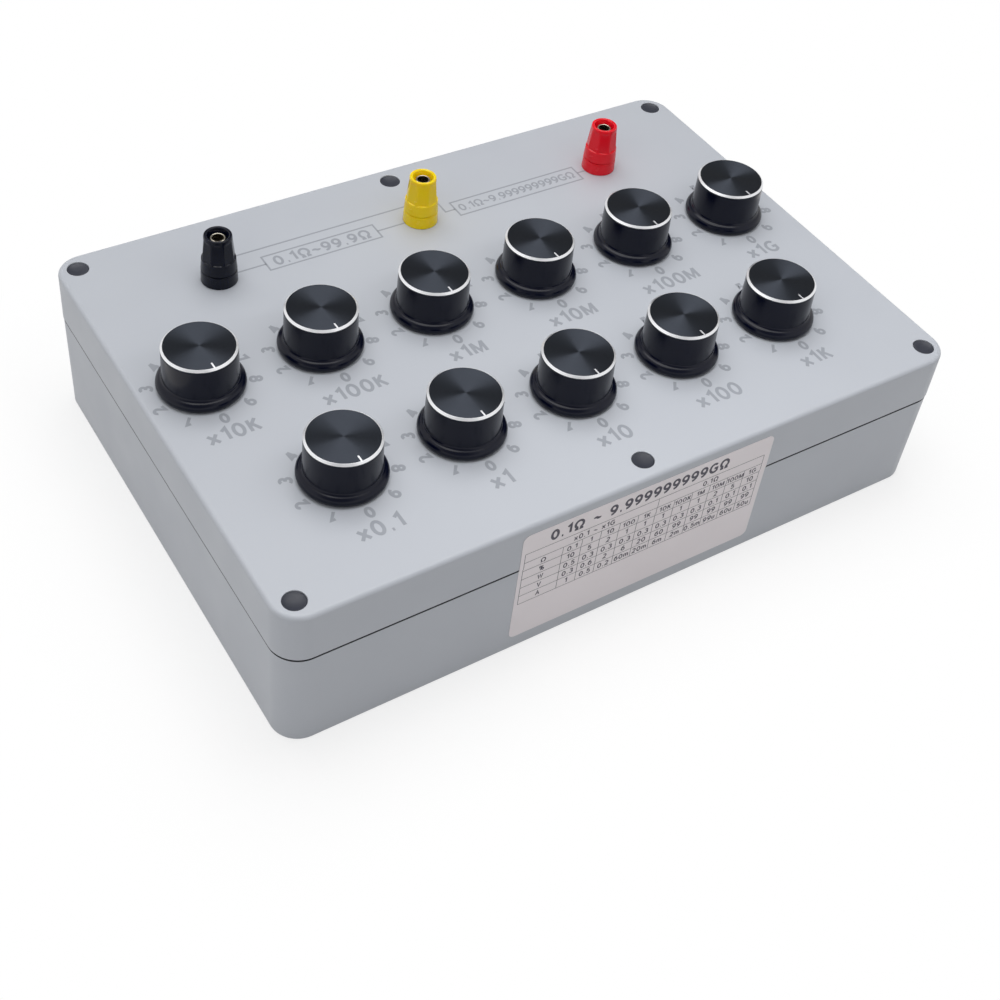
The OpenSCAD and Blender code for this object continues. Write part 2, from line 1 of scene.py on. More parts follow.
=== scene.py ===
import json
import math
import bmesh
import bpy
from mathutils import Matrix, Vector


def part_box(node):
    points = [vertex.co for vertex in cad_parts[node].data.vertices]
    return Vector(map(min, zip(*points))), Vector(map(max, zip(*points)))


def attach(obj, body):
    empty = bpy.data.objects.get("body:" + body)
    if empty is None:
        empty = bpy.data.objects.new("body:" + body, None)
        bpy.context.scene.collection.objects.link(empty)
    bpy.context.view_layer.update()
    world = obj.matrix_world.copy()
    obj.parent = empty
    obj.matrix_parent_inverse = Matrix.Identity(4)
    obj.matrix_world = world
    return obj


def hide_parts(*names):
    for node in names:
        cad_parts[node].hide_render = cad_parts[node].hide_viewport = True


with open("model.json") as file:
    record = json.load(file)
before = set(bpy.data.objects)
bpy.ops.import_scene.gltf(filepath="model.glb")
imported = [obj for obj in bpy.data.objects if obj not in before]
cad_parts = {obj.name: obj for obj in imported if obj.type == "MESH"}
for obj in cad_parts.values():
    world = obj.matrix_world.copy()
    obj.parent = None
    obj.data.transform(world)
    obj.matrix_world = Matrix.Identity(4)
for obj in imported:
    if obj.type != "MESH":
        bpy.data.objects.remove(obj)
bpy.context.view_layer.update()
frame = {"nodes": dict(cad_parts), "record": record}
nodes = frame["nodes"]
scene = bpy.context.scene
mm = 0.001  # the frame is in metres, the sizes below are in millimetres
print("frame loaded:", len(nodes), "nodes")


def linearColour(hexCode):  # sRGB hex to linear RGBA
    channels = [int(hexCode[i:i + 2], 16) / 255 for i in (1, 3, 5)]
    return [c / 12.92 if c <= 0.04045 else ((c + 0.055) / 1.055) ** 2.4 for c in channels] + [1.0]


def perSize(size):  # texture scale that gives features of that size in millimetres
    return 1 / (size * mm)


def addNode(tree, kind, values=None, links=None, **settings):
    node = tree.nodes.new(kind)
    for name, value in settings.items():
        setattr(node, name, value)
    for name, value in (values or {}).items():
        node.inputs[name].default_value = value
    for name, source in (links or {}).items():
        tree.links.new(source, node.inputs[name])
    return node


def startMaterial(name, sockets):
    material = bpy.data.materials.new(name)
    material.use_nodes = True
    shader = material.node_tree.nodes["Principled BSDF"]
    for socket, value in sockets.items():
        shader.inputs[socket].default_value = value
    return material, material.node_tree, shader


noiseDetail = {"drift": 4.0, "patches": 5.0, "grain": 2.0, "chatter": 2.0, "turnedPatches": 3.0}
noiseSpan = (0.3, 0.7)  # where nearly all of a noise texture's values lie
ringPeriod = math.pi / 10  # the wave texture's own period at a scale of one


# What every finish shares: two colours mixed by a pattern, patchy gloss, and relief from a pattern
def layFinish(tree, shader, look, shade, patches, height, depth):
    tint = addNode(tree, "ShaderNodeMix", {6: linearColour(look["colour"]), 7: linearColour(look["drift"])},
                   {0: shade}, data_type="RGBA")
    gloss = addNode(tree, "ShaderNodeMapRange",
                    {"From Min": noiseSpan[0], "From Max": noiseSpan[1],
                     "To Min": look["rough"][0], "To Max": look["rough"][1]},
                    {"Value": patches})
    relief = addNode(tree, "ShaderNodeBump", {"Strength": 1.0, "Distance": depth * mm}, {"Height": height})
    tree.links.new(tint.outputs[2], shader.inputs["Base Color"])
    tree.links.new(gloss.outputs[0], shader.inputs["Roughness"])
    tree.links.new(relief.outputs[0], shader.inputs["Normal"])


# A skin with slow colour drift, patchy gloss and fine relief, each at its own size in millimetres
def dressSkin(name, look, **sockets):
    material, tree, shader = startMaterial(name, sockets)
    place = addNode(tree, "ShaderNodeTexCoord").outputs["Object"]
    layers = []
    for size, detail in (("driftSize", "drift"), ("patchSize", "patches"), ("grainSize", "grain")):
        noise = addNode(tree, "ShaderNodeTexNoise",
                        {"Scale": perSize(look[size]), "Detail": noiseDetail[detail]}, {"Vector": place})
        layers.append(noise.outputs[0])
    layFinish(tree, shader, look, *layers, look["grainDepth"])
    return material


# Turned metal: rings from the tool at a real feed, and a highlight drawn out across them
def dressTurned(name, look, **sockets):
    material, tree, shader = startMaterial(name, {"Metallic": 1.0, **sockets})
    place = addNode(tree, "ShaderNodeTexCoord").outputs["Object"]
    rings = addNode(tree, "ShaderNodeTexWave",
                    {"Scale": perSize(look["feed"]) * ringPeriod, "Distortion": look["chatter"],
                     "Detail": noiseDetail["chatter"]},
                    {"Vector": place}, wave_type="RINGS", rings_direction="Z").outputs[1]
    patches = addNode(tree, "ShaderNodeTexNoise",
                      {"Scale": perSize(look["patchSize"]), "Detail": noiseDetail["turnedPatches"]},
                      {"Vector": place}).outputs[0]
    layFinish(tree, shader, look, rings, patches, rings, look["ringDepth"])
    lay = addNode(tree, "ShaderNodeTangent", direction_type="RADIAL", axis="Z")
    tree.links.new(lay.outputs[0], shader.inputs["Tangent"])
    return material


# Grain and tool marks under about 0.2 mm don't show in the render, so all are drawn at 0.2 mm or more.

# ABS from a spark-eroded mould: an even satin grey whose grain only shows as a soft sheen.
# The real grain is near 0.1 mm and is drawn at 0.5 mm.
mouldedAbs = dressSkin("greyAbsSatinMoulded", {
    "colour": "#BEC2C9", "drift": "#B9BDC5", "driftSize": 60, "patchSize": 18, "rough": (0.40, 0.50),
    "grainSize": 0.5, "grainDepth": 0.006}, IOR=1.54)

# The same ABS inside the open seam, coloured dark grey as painted shade: a dark line round the case.
seamShadeAbs = dressSkin("greyAbsPaintedSeamShade", {
    "colour": "#34363A", "drift": "#45474B", "driftSize": 12, "patchSize": 4, "rough": (0.60, 0.75),
    "grainSize": 0.5, "grainDepth": 0.006}, IOR=1.54)

# ABS from a polished mould: deep blue-black with a soft gloss and the odd finger mark.
knobAbs = dressSkin("blackAbsPolishedMoulded", {
    "colour": "#02061A", "drift": "#05091E", "driftSize": 9, "patchSize": 4, "rough": (0.18, 0.26),
    "grainSize": 0.4, "grainDepth": 0.001}, IOR=1.33)

# Soft plastic from an open mould: dull dark grey with dust in its grain.
plugRubber = dressSkin("greySoftPlasticMoulded", {
    "colour": "#272A35", "drift": "#2F323E", "driftSize": 3, "patchSize": 2, "rough": (0.40, 0.55),
    "grainSize": 0.3, "grainDepth": 0.006}, IOR=1.5)

# Black anodised aluminium, faced on a lathe: two bright fans cross the dark disc.
# The tool's feed is near 0.05 mm, and the rings are drawn at 0.4 mm.
spunAluminium = dressTurned("blackAnodisedAluminiumTurned", {
    "colour": "#383C43", "drift": "#444850", "feed": 0.4, "chatter": 0.3, "patchSize": 6,
    "rough": (0.38, 0.46), "ringDepth": 0.002}, **{"Anisotropic": 0.96, "Anisotropic Rotation": 0.25})

# Bare aluminium cut with a diamond tool: a bright edge, silky along the cut.
cutAluminium = dressTurned("bareAluminiumDiamondCut", {
    "colour": "#F2F2F4", "drift": "#E4E5E8", "feed": 0.2, "chatter": 0.2, "patchSize": 3,
    "rough": (0.36, 0.46), "ringDepth": 0.0005}, **{"Anisotropic": 0.6, "Anisotropic Rotation": 0.25})

# Polyamide from a polished mould: strong dyed colour under a clear gloss, with light let in a little.
postLooks = {
    "black": {"colour": "#03081A", "drift": "#070C1E", "ior": 1.33},
    "yellow": {"colour": "#FFDC04", "drift": "#FAD202", "ior": 1.42},
    "red": {"colour": "#EE0F26", "drift": "#E40B20", "ior": 1.4},
}
postGloss = {"driftSize": 6, "patchSize": 3, "rough": (0.18, 0.28), "grainSize": 0.6, "grainDepth": 0.001}
postDepth = {"Subsurface Weight": 0.4, "Subsurface Scale": 2 * mm, "Subsurface Radius": (1.0, 0.6, 0.2)}
postSkins = {
    dye: dressSkin(dye + "PolyamideGlossMoulded", {**look, **postGloss}, IOR=look["ior"], **postDepth)
    for dye, look in postLooks.items()
}

# Brass with a nickel plate over turning marks: warm silver, slightly streaked.
nickelPlate = dressTurned("brassNickelPlatedTurned", {
    "colour": "#DCD5C6", "drift": "#CFC7B6", "feed": 0.25, "chatter": 0.4, "patchSize": 2,
    "rough": (0.14, 0.24), "ringDepth": 0.001})

# Pad-printed ink: a flat mid grey that lies dull on the satin panel.
panelInk = dressSkin("greyInkPadPrinted", {
    "colour": "#9DA1A9", "drift": "#969AA2", "driftSize": 5, "patchSize": 2, "rough": (0.50, 0.62),
    "grainSize": 0.25, "grainDepth": 0.003}, IOR=1.5)

# Polyester film with a matt silver coat: pale, faintly pink, with a fine sparkle.
labelFilm = dressSkin("silverPolyesterFilmCoated", {
    "colour": "#F2EBEE", "drift": "#EBE4E7", "driftSize": 25, "patchSize": 8, "rough": (0.38, 0.48),
    "grainSize": 0.3, "grainDepth": 0.004}, IOR=1.57)

# Resin ribbon print on the film: near black with a violet cast.
labelInk = dressSkin("violetBlackResinPrinted", {
    "colour": "#322E3E", "drift": "#3D3949", "driftSize": 2, "patchSize": 1, "rough": (0.42, 0.55),
    "grainSize": 0.2, "grainDepth": 0.002}, IOR=1.5)

# Inner pieces, seen only in an open case: finish, two colours, roughness and metallic for each slot
innerLooks = {
    "seal_rubber": ("blackRubberExtruded", "#1C1D1F", "#232427", (0.65, 0.80), 0.0),
    "screw_steel": ("steelZincPlated", "#A9ABAF", "#9A9CA1", (0.30, 0.45), 1.0),
    "spindle_metal": ("aluminiumTurned", "#C9C7C1", "#BDBBB5", (0.25, 0.35), 1.0),
    "zinc": ("steelZincPassivated", "#B4B6B8", "#A7AAAE", (0.35, 0.50), 1.0),
    "phenolic": ("brownPhenolicMoulded", "#3A2A1E", "#443225", (0.35, 0.50), 0.0),
    "wafer_laminate": ("paperLaminatePunched", "#8A5A2B", "#7C4F24", (0.50, 0.65), 0.0),
    "tinned_brass": ("brassTinned", "#CBC8C0", "#BAB7AF", (0.30, 0.45), 1.0),
    "nickel": ("brassNickelPlated", "#CFC9BD", "#C2BCB0", (0.20, 0.32), 1.0),
    "resistor_lacquer": ("blueLacquerDipped", "#4C7FA8", "#4576A0", (0.25, 0.35), 0.0),
    "wire_pvc": ("redPvcExtruded", "#8C1D24", "#97232B", (0.35, 0.45), 0.0),
    "nylon": ("whiteNylonMoulded", "#E4E0D4", "#DAD6CA", (0.40, 0.50), 0.0),
    "brass": ("brassTurned", "#C69A45", "#B88C3A", (0.25, 0.35), 1.0),
}
innerGrain = {"driftSize": 6, "patchSize": 2, "grainSize": 0.4, "grainDepth": 0.004}
innerSkins = {
    slot: dressSkin(name, {"colour": colour, "drift": drift, "rough": rough, **innerGrain}, Metallic=metallic)
    for slot, (name, colour, drift, rough, metallic) in innerLooks.items()
}
print("materials ready:", len(bpy.data.materials))


def arcPoints(centre, radius, start, end, steps):  # points of an arc, angles in degrees
    turns = [math.radians(start + (end - start) * i / steps) for i in range(steps + 1)]
    return [(centre[0] + radius * math.cos(a), centre[1] + radius * math.sin(a)) for a in turns]


def skin(shape, rings, loop=False):  # quads between rings of points, a ring of one point is a pole
    made = [[shape.verts.new(p) for p in ring] for ring in rings]
    if loop:
        made.append(made[0])
    for low, high in zip(made, made[1:]):
        count = max(len(low), len(high))
        for k in range(count):
            after = (k + 1) % count
            corners = [low[k % len(low)], low[after % len(low)],
                       high[after % len(high)], high[k % len(high)]]
            shape.faces.new(list(dict.fromkeys(corners)))
    return made


def lathe(shape, profile, steps, centre=(0, 0, 0)):  # (radius, height) in millimetres, turned about Z
    rings = []
    for radius, height in profile:
        turns = [2 * math.pi * k / steps for k in range(steps if radius > 0 else 1)]
        rings.append([Vector(centre) + mm * Vector((radius * math.cos(a), radius * math.sin(a), height))
                      for a in turns])
    return skin(shape, rings)


def rod(radius, low, high):  # profile of a plain cylinder
    return [(0, low), (radius, low), (radius, high), (0, high)]


softCrease = 32  # degrees, flatter edges are shaded smooth


def shadeMesh(mesh, crease):
    mesh.polygons.foreach_set("use_smooth", [True] * len(mesh.polygons))
    mesh.set_sharp_from_angle(angle=math.radians(crease))
    return mesh


def makeMesh(name, shape, *materials, crease=softCrease):
    bmesh.ops.recalc_face_normals(shape, faces=shape.faces)
    mesh = bpy.data.meshes.new(name)
    shape.to_mesh(mesh)
    shape.free()
    for material in materials:
        mesh.materials.append(material)
    return shadeMesh(mesh, crease)


def placePiece(name, mesh, body, place=(0, 0, 0), stands=()):
    piece = bpy.data.objects.new(name, mesh)
    piece.location = place
    scene.collection.objects.link(piece)
    flats = piece.modifiers.new("flats", "WEIGHTED_NORMAL")  # keeps big faces flat beside small rounds
    flats.keep_sharp = True
    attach(piece, body)
    if stands:
        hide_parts(*stands)
    return piece


def combine(mesh, shape, operation, material, crease=softCrease):  # cuts or adds one closed shape
    target = bpy.data.objects.new("target", mesh)
    tool = bpy.data.objects.new("tool", makeMesh("tool", shape, material))
    for each in (target, tool):
        scene.collection.objects.link(each)
    step = target.modifiers.new("step", "BOOLEAN")
    step.object = tool
    step.operation = operation
    step.solver = "EXACT"
    step.material_mode = "TRANSFER"
    graph = bpy.context.evaluated_depsgraph_get()
    made = bpy.data.meshes.new_from_object(target.evaluated_get(graph))
    made.name = mesh.name
    for each in (target, tool):
        bpy.data.objects.remove(each)
    return shadeMesh(made, crease)


def middleOf(node):  # axis of a round node, on the panel
    low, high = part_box(node)
    return (low.x + high.x) / 2, (low.y + high.y) / 2


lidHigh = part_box("lid_shell")[1]
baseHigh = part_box("base_shell")[1]
panelZ = lidHigh.z / mm
dialNames = [name.removeprefix("knob_disc_") for name in nodes if name.startswith("knob_disc_")]
dialPlaces = {name: middleOf("knob_" + name) for name in dialNames}
postPlaces = {dye: middleOf("post_cap_" + dye) for dye in postLooks}

# Case: two moulded shells with drafted walls, round corners and six deep screw wells
caseShape = {
    # seamShadeReach: how close to the seam a face lies to take the dark grey of painted seam shade
    "cornerRadius": 10, "cornerSteps": 20, "draft": 0.25, "topEdge": 1.6, "topSteps": 9, "footEdge": 0.8,
    "footSteps": 4, "seamEdge": 0.2, "seamSteps": 3, "seamGap": 0.7, "seamShadeReach": 0.21, "wall": 3,
    "rim": 5.2, "rimHeight": 5, "grooveInset": 1.6, "grooveWidth": 2, "grooveDepth": 2.2,
    "tongue": 0.5, "tonguePlay": 0.1, "pillar": 6, "pillarSteps": 40, "pillarPlay": 0.01,
    "wellRadius": 3.8, "wellDepth": 13, "wellLip": 0.2, "lipSteps": 4, "wellSteps": 56, "shank": 2.25,
    "pilot": 2.02, "pilotDepth": 13.5, "endInset": 7.5, "sideInset": 7.75,
    "bushingHole": 4.65, "postHole": 4.1,
}
overCut = 1  # how far a form that cuts or joins reaches past the face it meets
seamLow = baseHigh.z / mm
seamHigh = seamLow + caseShape["seamGap"]
slope = math.tan(math.radians(caseShape["draft"]))
stepBack = (lidHigh.y - baseHigh.y) / mm
cornerX = lidHigh.x / mm - caseShape["cornerRadius"]
cornerY = lidHigh.y / mm - caseShape["cornerRadius"]
screwX = lidHigh.x / mm - caseShape["endInset"]
screwY = lidHigh.y / mm - caseShape["sideInset"]
screwPlaces = [(x, y) for x in (-screwX, 0, screwX) for y in (-screwY, screwY)]


def caseRing(radius, height):  # round-cornered outline at one height
    ring = []
    for quarter, (sideX, sideY) in enumerate([(1, 1), (-1, 1), (-1, -1), (1, -1)]):
        ring += arcPoints((sideX * cornerX, sideY * cornerY), radius, 90 * quarter, 90 * quarter + 90,
                          caseShape["cornerSteps"])
    return [Vector((x, y, height)) * mm for x, y in ring]


def latheAtScrews(profile, steps):  # one closed form on each lid screw's axis
    shape = bmesh.new()
    for x, y in screwPlaces:
        lathe(shape, profile, steps, (x * mm, y * mm, 0))
    return shape


def shellOf(name, profile, seamZ, pillarLow, pillarHigh):
    shape = bmesh.new()
    made = skin(shape, [caseRing(radius, height) for radius, height in profile])
    # Faces of the rim and its round edge in the open seam take the dark grey of painted shade
    for face in shape.faces:  # the rim and its round edge lie in the open seam
        offsets = [abs(point.co.z / mm - seamZ) for point in face.verts]
        face.material_index = int(max(offsets) < caseShape["seamShadeReach"])
    shape.faces.new(made[0])
    shape.faces.new(made[-1])
    mesh = makeMesh(name, shape, mouldedAbs, seamShadeAbs)
    pillars = latheAtScrews(rod(caseShape["pillar"], pillarLow, pillarHigh), caseShape["pillarSteps"])
    return combine(mesh, pillars, "UNION", mouldedAbs)


corner = caseShape["cornerRadius"]
baseCorner = corner - stepBack
topCorner = corner - (panelZ - seamHigh) * slope
footCorner = baseCorner - seamLow * slope
underZ = panelZ - caseShape["wall"]
rimRadius = corner - caseShape["rim"]
innerLid = corner - caseShape["wall"] - (panelZ - seamHigh) * slope
seamEdge = caseShape["seamEdge"]
topEdge = caseShape["topEdge"]
footEdge = caseShape["footEdge"]
grooveOut = baseCorner - caseShape["grooveInset"]
grooveIn = grooveOut - caseShape["grooveWidth"]
grooveZ = seamLow - caseShape["grooveDepth"]
tongueOut = grooveOut - caseShape["tonguePlay"]
tongueIn = grooveIn + caseShape["tonguePlay"]
tongueZ = seamLow - caseShape["tongue"]
lidProfile = [(innerLid, underZ), (corner - caseShape["wall"], seamHigh + caseShape["rimHeight"]),
              (rimRadius, seamHigh + caseShape["rimHeight"]), (rimRadius, seamHigh), (tongueIn, seamHigh),
              (tongueIn, tongueZ), (tongueOut, tongueZ), (tongueOut, seamHigh)]
lidProfile += arcPoints((corner - seamEdge, seamHigh + seamEdge), seamEdge, -90, 0, caseShape["seamSteps"])
lidProfile += arcPoints((topCorner - topEdge, panelZ - topEdge), topEdge, caseShape["draft"], 90,
                        caseShape["topSteps"])
lidMesh = shellOf("lidShell", lidProfile, seamHigh, seamHigh, underZ + overCut)

wellZ = panelZ - caseShape["wellDepth"]
wellLip = caseShape["wellLip"]
wellProfile = [(0, seamHigh - overCut), (caseShape["shank"], seamHigh - overCut),
               (caseShape["shank"], wellZ), (caseShape["wellRadius"], wellZ)]
wellProfile += arcPoints((caseShape["wellRadius"] + wellLip, panelZ - wellLip), wellLip, 180, 90,
                         caseShape["lipSteps"])
wellProfile += [(caseShape["wellRadius"] + wellLip, panelZ + overCut), (0, panelZ + overCut)]
wells = latheAtScrews(wellProfile, caseShape["wellSteps"])
for places, hole in ((dialPlaces, caseShape["bushingHole"]), (postPlaces, caseShape["postHole"])):
    for x, y in places.values():
        lathe(wells, rod(hole, underZ - overCut, panelZ + overCut), caseShape["pillarSteps"], (x, y, 0))
lidMesh = combine(lidMesh, wells, "DIFFERENCE", mouldedAbs)
placePiece("lidShell", lidMesh, "case", stands=["lid_shell"])

baseProfile = arcPoints((footCorner - footEdge, footEdge), footEdge, -90, 0, caseShape["footSteps"])
baseProfile += arcPoints((baseCorner - seamEdge, seamLow - seamEdge), seamEdge, 0, 90, caseShape["seamSteps"])
baseProfile += [(grooveOut, seamLow), (grooveOut, grooveZ), (grooveIn, grooveZ), (grooveIn, seamLow),
                (rimRadius, seamLow), (rimRadius, seamLow - caseShape["rimHeight"]),
                (baseCorner - caseShape["wall"], seamLow - caseShape["rimHeight"]),
                (footCorner - caseShape["wall"], caseShape["wall"])]
baseMesh = shellOf("baseShell", baseProfile, seamLow, caseShape["wall"] - overCut,
                   seamLow - caseShape["pillarPlay"])
pilots = latheAtScrews(rod(caseShape["pilot"], seamLow - caseShape["pilotDepth"], seamLow + overCut),
                       caseShape["pillarSteps"])
baseMesh = combine(baseMesh, pilots, "DIFFERENCE", mouldedAbs)
placePiece("baseShell", baseMesh, "case", stands=["base_shell"])

# Plugs over the lid screws: soft, a little below the panel and slightly dished
plugShape = {
    "radius": 3.78, "sink": 0.35, "dish": 0.6, "dishSteps": 5, "edge": 0.3, "edgeSteps": 4,
    "lead": 0.4, "depth": 4, "steps": 48,
}
plugTop = panelZ - plugShape["sink"]
plugFoot = plugTop - plugShape["depth"]
plugEdge = plugShape["edge"]
plugProfile = [(0, plugFoot), (plugShape["radius"] - plugShape["lead"], plugFoot),
               (plugShape["radius"], plugFoot + plugShape["lead"])]
plugProfile += arcPoints((plugShape["radius"] - plugEdge, plugTop - plugEdge), plugEdge, 0, 90,
                         plugShape["edgeSteps"])
dishShares = [k / plugShape["dishSteps"] for k in reversed(range(plugShape["dishSteps"]))]
plugProfile += [(plugShape["radius"] * share, plugTop - plugShape["dish"] * (1 - share ** 2))
                for share in dishShares]
plugMesh = makeMesh("screwPlugs", latheAtScrews(plugProfile, plugShape["steps"]), plugRubber)
placePiece("screwPlugs", plugMesh, "case", stands=["screw_plugs"])
print("case ready")

# Knobs: a flared bead skirt, a flute over it and a plain grip, with a turned disc let into the top
knobShape = {
    "gap": 0.6, "beadRound": 2.1, "beadRise": 1.2, "beadTurn": 69, "beadSteps": 14, "flute": 1.2,
    "fluteSteps": 8, "crown": 1.4, "wall": 1.6, "hub": 5.5, "hubFoot": 5.6, "bore": 3.05, "boreTop": 12.7,
    "softEdge": 0.15, "steps": 128,
}
knobLow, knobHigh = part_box("knob_" + dialNames[0])
discLow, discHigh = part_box("knob_disc_" + dialNames[0])
beadOuter = (knobHigh.x - knobLow.x) / 2 / mm
gripTop = (discHigh.x - discLow.x) / 2 / mm
discZ = discLow.z / mm - panelZ
knobTop = discHigh.z / mm - panelZ
beadX = beadOuter - knobShape["beadRound"]
beadZ = knobShape["gap"] + knobShape["beadRise"]
beadFoot = math.degrees(math.asin(knobShape["beadRise"] / knobShape["beadRound"]))
reach = knobShape["beadRound"] + knobShape["flute"]
fluteX = beadX + reach * math.cos(math.radians(knobShape["beadTurn"]))
fluteZ = beadZ + reach * math.sin(math.radians(knobShape["beadTurn"]))
pocket = gripTop - knobShape["wall"]
pocketZ = discZ - knobShape["crown"]
knobProfile = [(0, discZ), (gripTop - knobShape["softEdge"], discZ),
               (gripTop, discZ - knobShape["softEdge"])]
knobProfile += arcPoints((fluteX, fluteZ), knobShape["flute"], 180, 180 + knobShape["beadTurn"],
                         knobShape["fluteSteps"])
knobProfile += arcPoints((beadX, beadZ), knobShape["beadRound"], knobShape["beadTurn"], -beadFoot,
                         knobShape["beadSteps"])[1:]
knobProfile += [(pocket, knobShape["gap"]), (pocket, pocketZ), (knobShape["hub"], pocketZ),
                (knobShape["hub"], knobShape["hubFoot"]), (knobShape["bore"], knobShape["hubFoot"]),
                (knobShape["bore"], knobShape["boreTop"]), (0, knobShape["boreTop"])]
knobForm = bmesh.new()
lathe(knobForm, knobProfile, knobShape["steps"])
knobMesh = makeMesh("knob", knobForm, knobAbs)

# Discs: a bevel cut bright round the edge, and a pointer cut as bright
discShape = {
    "rimCut": 0.66, "land": 0.1, "crease": 20,
    "pointerLength": 2.6, "pointerWidth": 0.6, "pointerDepth": 0.15,
}
faceRadius = gripTop - discShape["rimCut"]
discForm = bmesh.new()
discRings = lathe(discForm, [(0, discZ), (gripTop, discZ), (gripTop, knobTop - discShape["rimCut"]),
                             (faceRadius, knobTop), (faceRadius - discShape["land"], knobTop), (0, knobTop)],
                  knobShape["steps"])
cutPoints = set(discRings[2] + discRings[3] + discRings[4])  # the bevel and the land beside it
for face in discForm.faces:
    face.material_index = int(all(point in cutPoints for point in face.verts))
discMesh = makeMesh("knobDisc", discForm, spunAluminium, cutAluminium, crease=discShape["crease"])
slit = bmesh.new()
slitSize = Vector((discShape["pointerWidth"], discShape["pointerLength"] + discShape["rimCut"],
                   2 * discShape["pointerDepth"]))
slitPlace = Matrix.Translation(Vector((0, -gripTop + slitSize.y / 2, knobTop)) * mm)
bmesh.ops.create_cube(slit, size=1, matrix=slitPlace @ Matrix.Diagonal(slitSize * mm).to_4x4())
discMesh = combine(discMesh, slit, "DIFFERENCE", cutAluminium, crease=discShape["crease"])
for name, (x, y) in dialPlaces.items():
    place = (x, y, panelZ * mm)
    placePiece("knob-" + name, knobMesh, "dial_" + name, place, ["knob_" + name])
    placePiece("knobDisc-" + name, discMesh, "dial_" + name, place, ["knob_disc_" + name])
print("knobs ready:", len(dialPlaces))

# Binding posts: a collar, and a screw cap whose eight soft flats lie between a ledge and a round rim
postShape = {
    "gap": 0.3, "collar": 6.5, "collarHeight": 4.9, "collarEdge": 0.5, "collarSteps": 5,
    "capFoot": 6.35, "capTop": 5.3, "waist": 5.95, "rimTop": 4.87, "rim": 1.0, "rimBlend": 1.2, "rimSteps": 6,
    "edge": 0.55, "edgeSteps": 9, "flats": 8, "flatZ": 9.9, "flatFoot": 5.5, "flatTop": 4.66, "flatTurn": 17,
    "flatRound": 0.8, "flatSteps": 4, "ledge": 0.18, "well": 3.7, "wellDepth": 2.6, "wellTaper": 0.55,
    "lip": 0.6, "lipSteps": 6, "throat": 3.0, "bush": 3.85, "bushLength": 7, "spigot": 4, "stud": 2.72,
    "seat": 1.2, "tail": 2.02, "softEdge": 0.15, "crease": 24, "steps": 192,
}
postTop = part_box("post_cap_black")[1].z / mm - panelZ
capZ = postShape["collarHeight"] + postShape["gap"]
turns = [2 * math.pi * k / postShape["steps"] for k in range(postShape["steps"])]


def roundRing(radius, height):
    return [mm * Vector((radius * math.cos(a), radius * math.sin(a), height)) for a in turns]


def coneAt(height):  # the cap's round form under the ledge
    share = (height - capZ) / (postTop - capZ)
    return postShape["capFoot"] + (postShape["capTop"] - postShape["capFoot"]) * share


def waistAt(height):  # the cap's round form over the ledge, without the flats
    share = (height - postShape["flatZ"]) / (postTop - postShape["flatZ"])
    return postShape["waist"] + (postShape["rimTop"] - postShape["waist"]) * share


def capRing(height, swell):  # eight flats with round corners, swelling from 0 to 1 out to the round form
    share = (height - postShape["flatZ"]) / (postTop - postShape["flatZ"])
    flat = postShape["flatFoot"] + (postShape["flatTop"] - postShape["flatFoot"]) * share
    half = math.pi / postShape["flats"]
    middle = (flat - postShape["flatRound"]) / math.cos(half)  # from the axis to a corner round's centre
    ring = []
    for a in turns:
        off = abs((a - math.radians(postShape["flatTurn"]) + half) % (2 * half) - half)
        radius = flat / math.cos(off)
        if radius * math.sin(off) > (flat - postShape["flatRound"]) * math.tan(half):
            aside = middle * math.sin(half - off)
            radius = middle * math.cos(half - off) + math.sqrt(postShape["flatRound"] ** 2 - aside ** 2)
        radius = min(radius, waistAt(height))
        radius += (waistAt(height) - radius) * swell
        ring.append(mm * Vector((radius * math.cos(a), radius * math.sin(a), height)))
    return ring


soft = postShape["softEdge"]
collarEdge = postShape["collarEdge"]
collarTop = arcPoints((postShape["capFoot"] - collarEdge, postShape["collarHeight"] - collarEdge), collarEdge,
                      90, 0, postShape["collarSteps"])
collarProfile = [(postShape["stud"], postShape["seat"]), (postShape["stud"], postShape["collarHeight"]),
                 *collarTop, (postShape["collar"], soft), (postShape["collar"] - soft, 0),
                 (postShape["spigot"], 0), (postShape["spigot"], underZ - panelZ),
                 (postShape["tail"], underZ - panelZ), (postShape["tail"], postShape["seat"])]
collarForm = bmesh.new()
skin(collarForm, [roundRing(*point) for point in collarProfile], loop=True)
collarMesh = makeMesh("postCollar", collarForm)

bushTop = capZ + postShape["bushLength"]
wellFloor = postTop - postShape["wellDepth"]
ledgeFoot = postShape["flatZ"] - postShape["ledge"]
capEdge = postShape["edge"]
capLip = postShape["lip"]
capRings = [roundRing(*point) for point in (
    (postShape["throat"], wellFloor), (postShape["throat"], bushTop), (postShape["bush"], bushTop),
    (postShape["bush"], capZ), (postShape["capFoot"] - soft, capZ), (postShape["capFoot"], capZ + soft),
    (coneAt(ledgeFoot - soft), ledgeFoot - soft), (coneAt(ledgeFoot) - soft / 2, ledgeFoot))]
flatEnd = postTop - postShape["rim"] - postShape["rimBlend"]
flatRun = flatEnd - postShape["flatZ"]
flatStep = flatRun / postShape["flatSteps"]
capRings += [capRing(postShape["flatZ"] + flatStep * k, 0) for k in range(postShape["flatSteps"])]
for k in range(postShape["rimSteps"] + 1):
    share = k / postShape["rimSteps"]
    swell = share ** 2 * (3 - 2 * share)  # starts and ends smoothly
    capRings.append(capRing(flatEnd + postShape["rimBlend"] * share, swell))
rimEdge = arcPoints((waistAt(postTop - capEdge) - capEdge, postTop - capEdge), capEdge, 0, 90,
                    postShape["edgeSteps"])
wellEdge = arcPoints((postShape["well"] + capLip, postTop - capLip), capLip, 90, 180, postShape["lipSteps"])
capRings += [roundRing(*point) for point in rimEdge + wellEdge]
capRings.append(roundRing(postShape["well"] - postShape["wellTaper"], wellFloor))
capForm = bmesh.new()
skin(capForm, capRings, loop=True)
capMesh = makeMesh("postCap", capForm, crease=postShape["crease"])
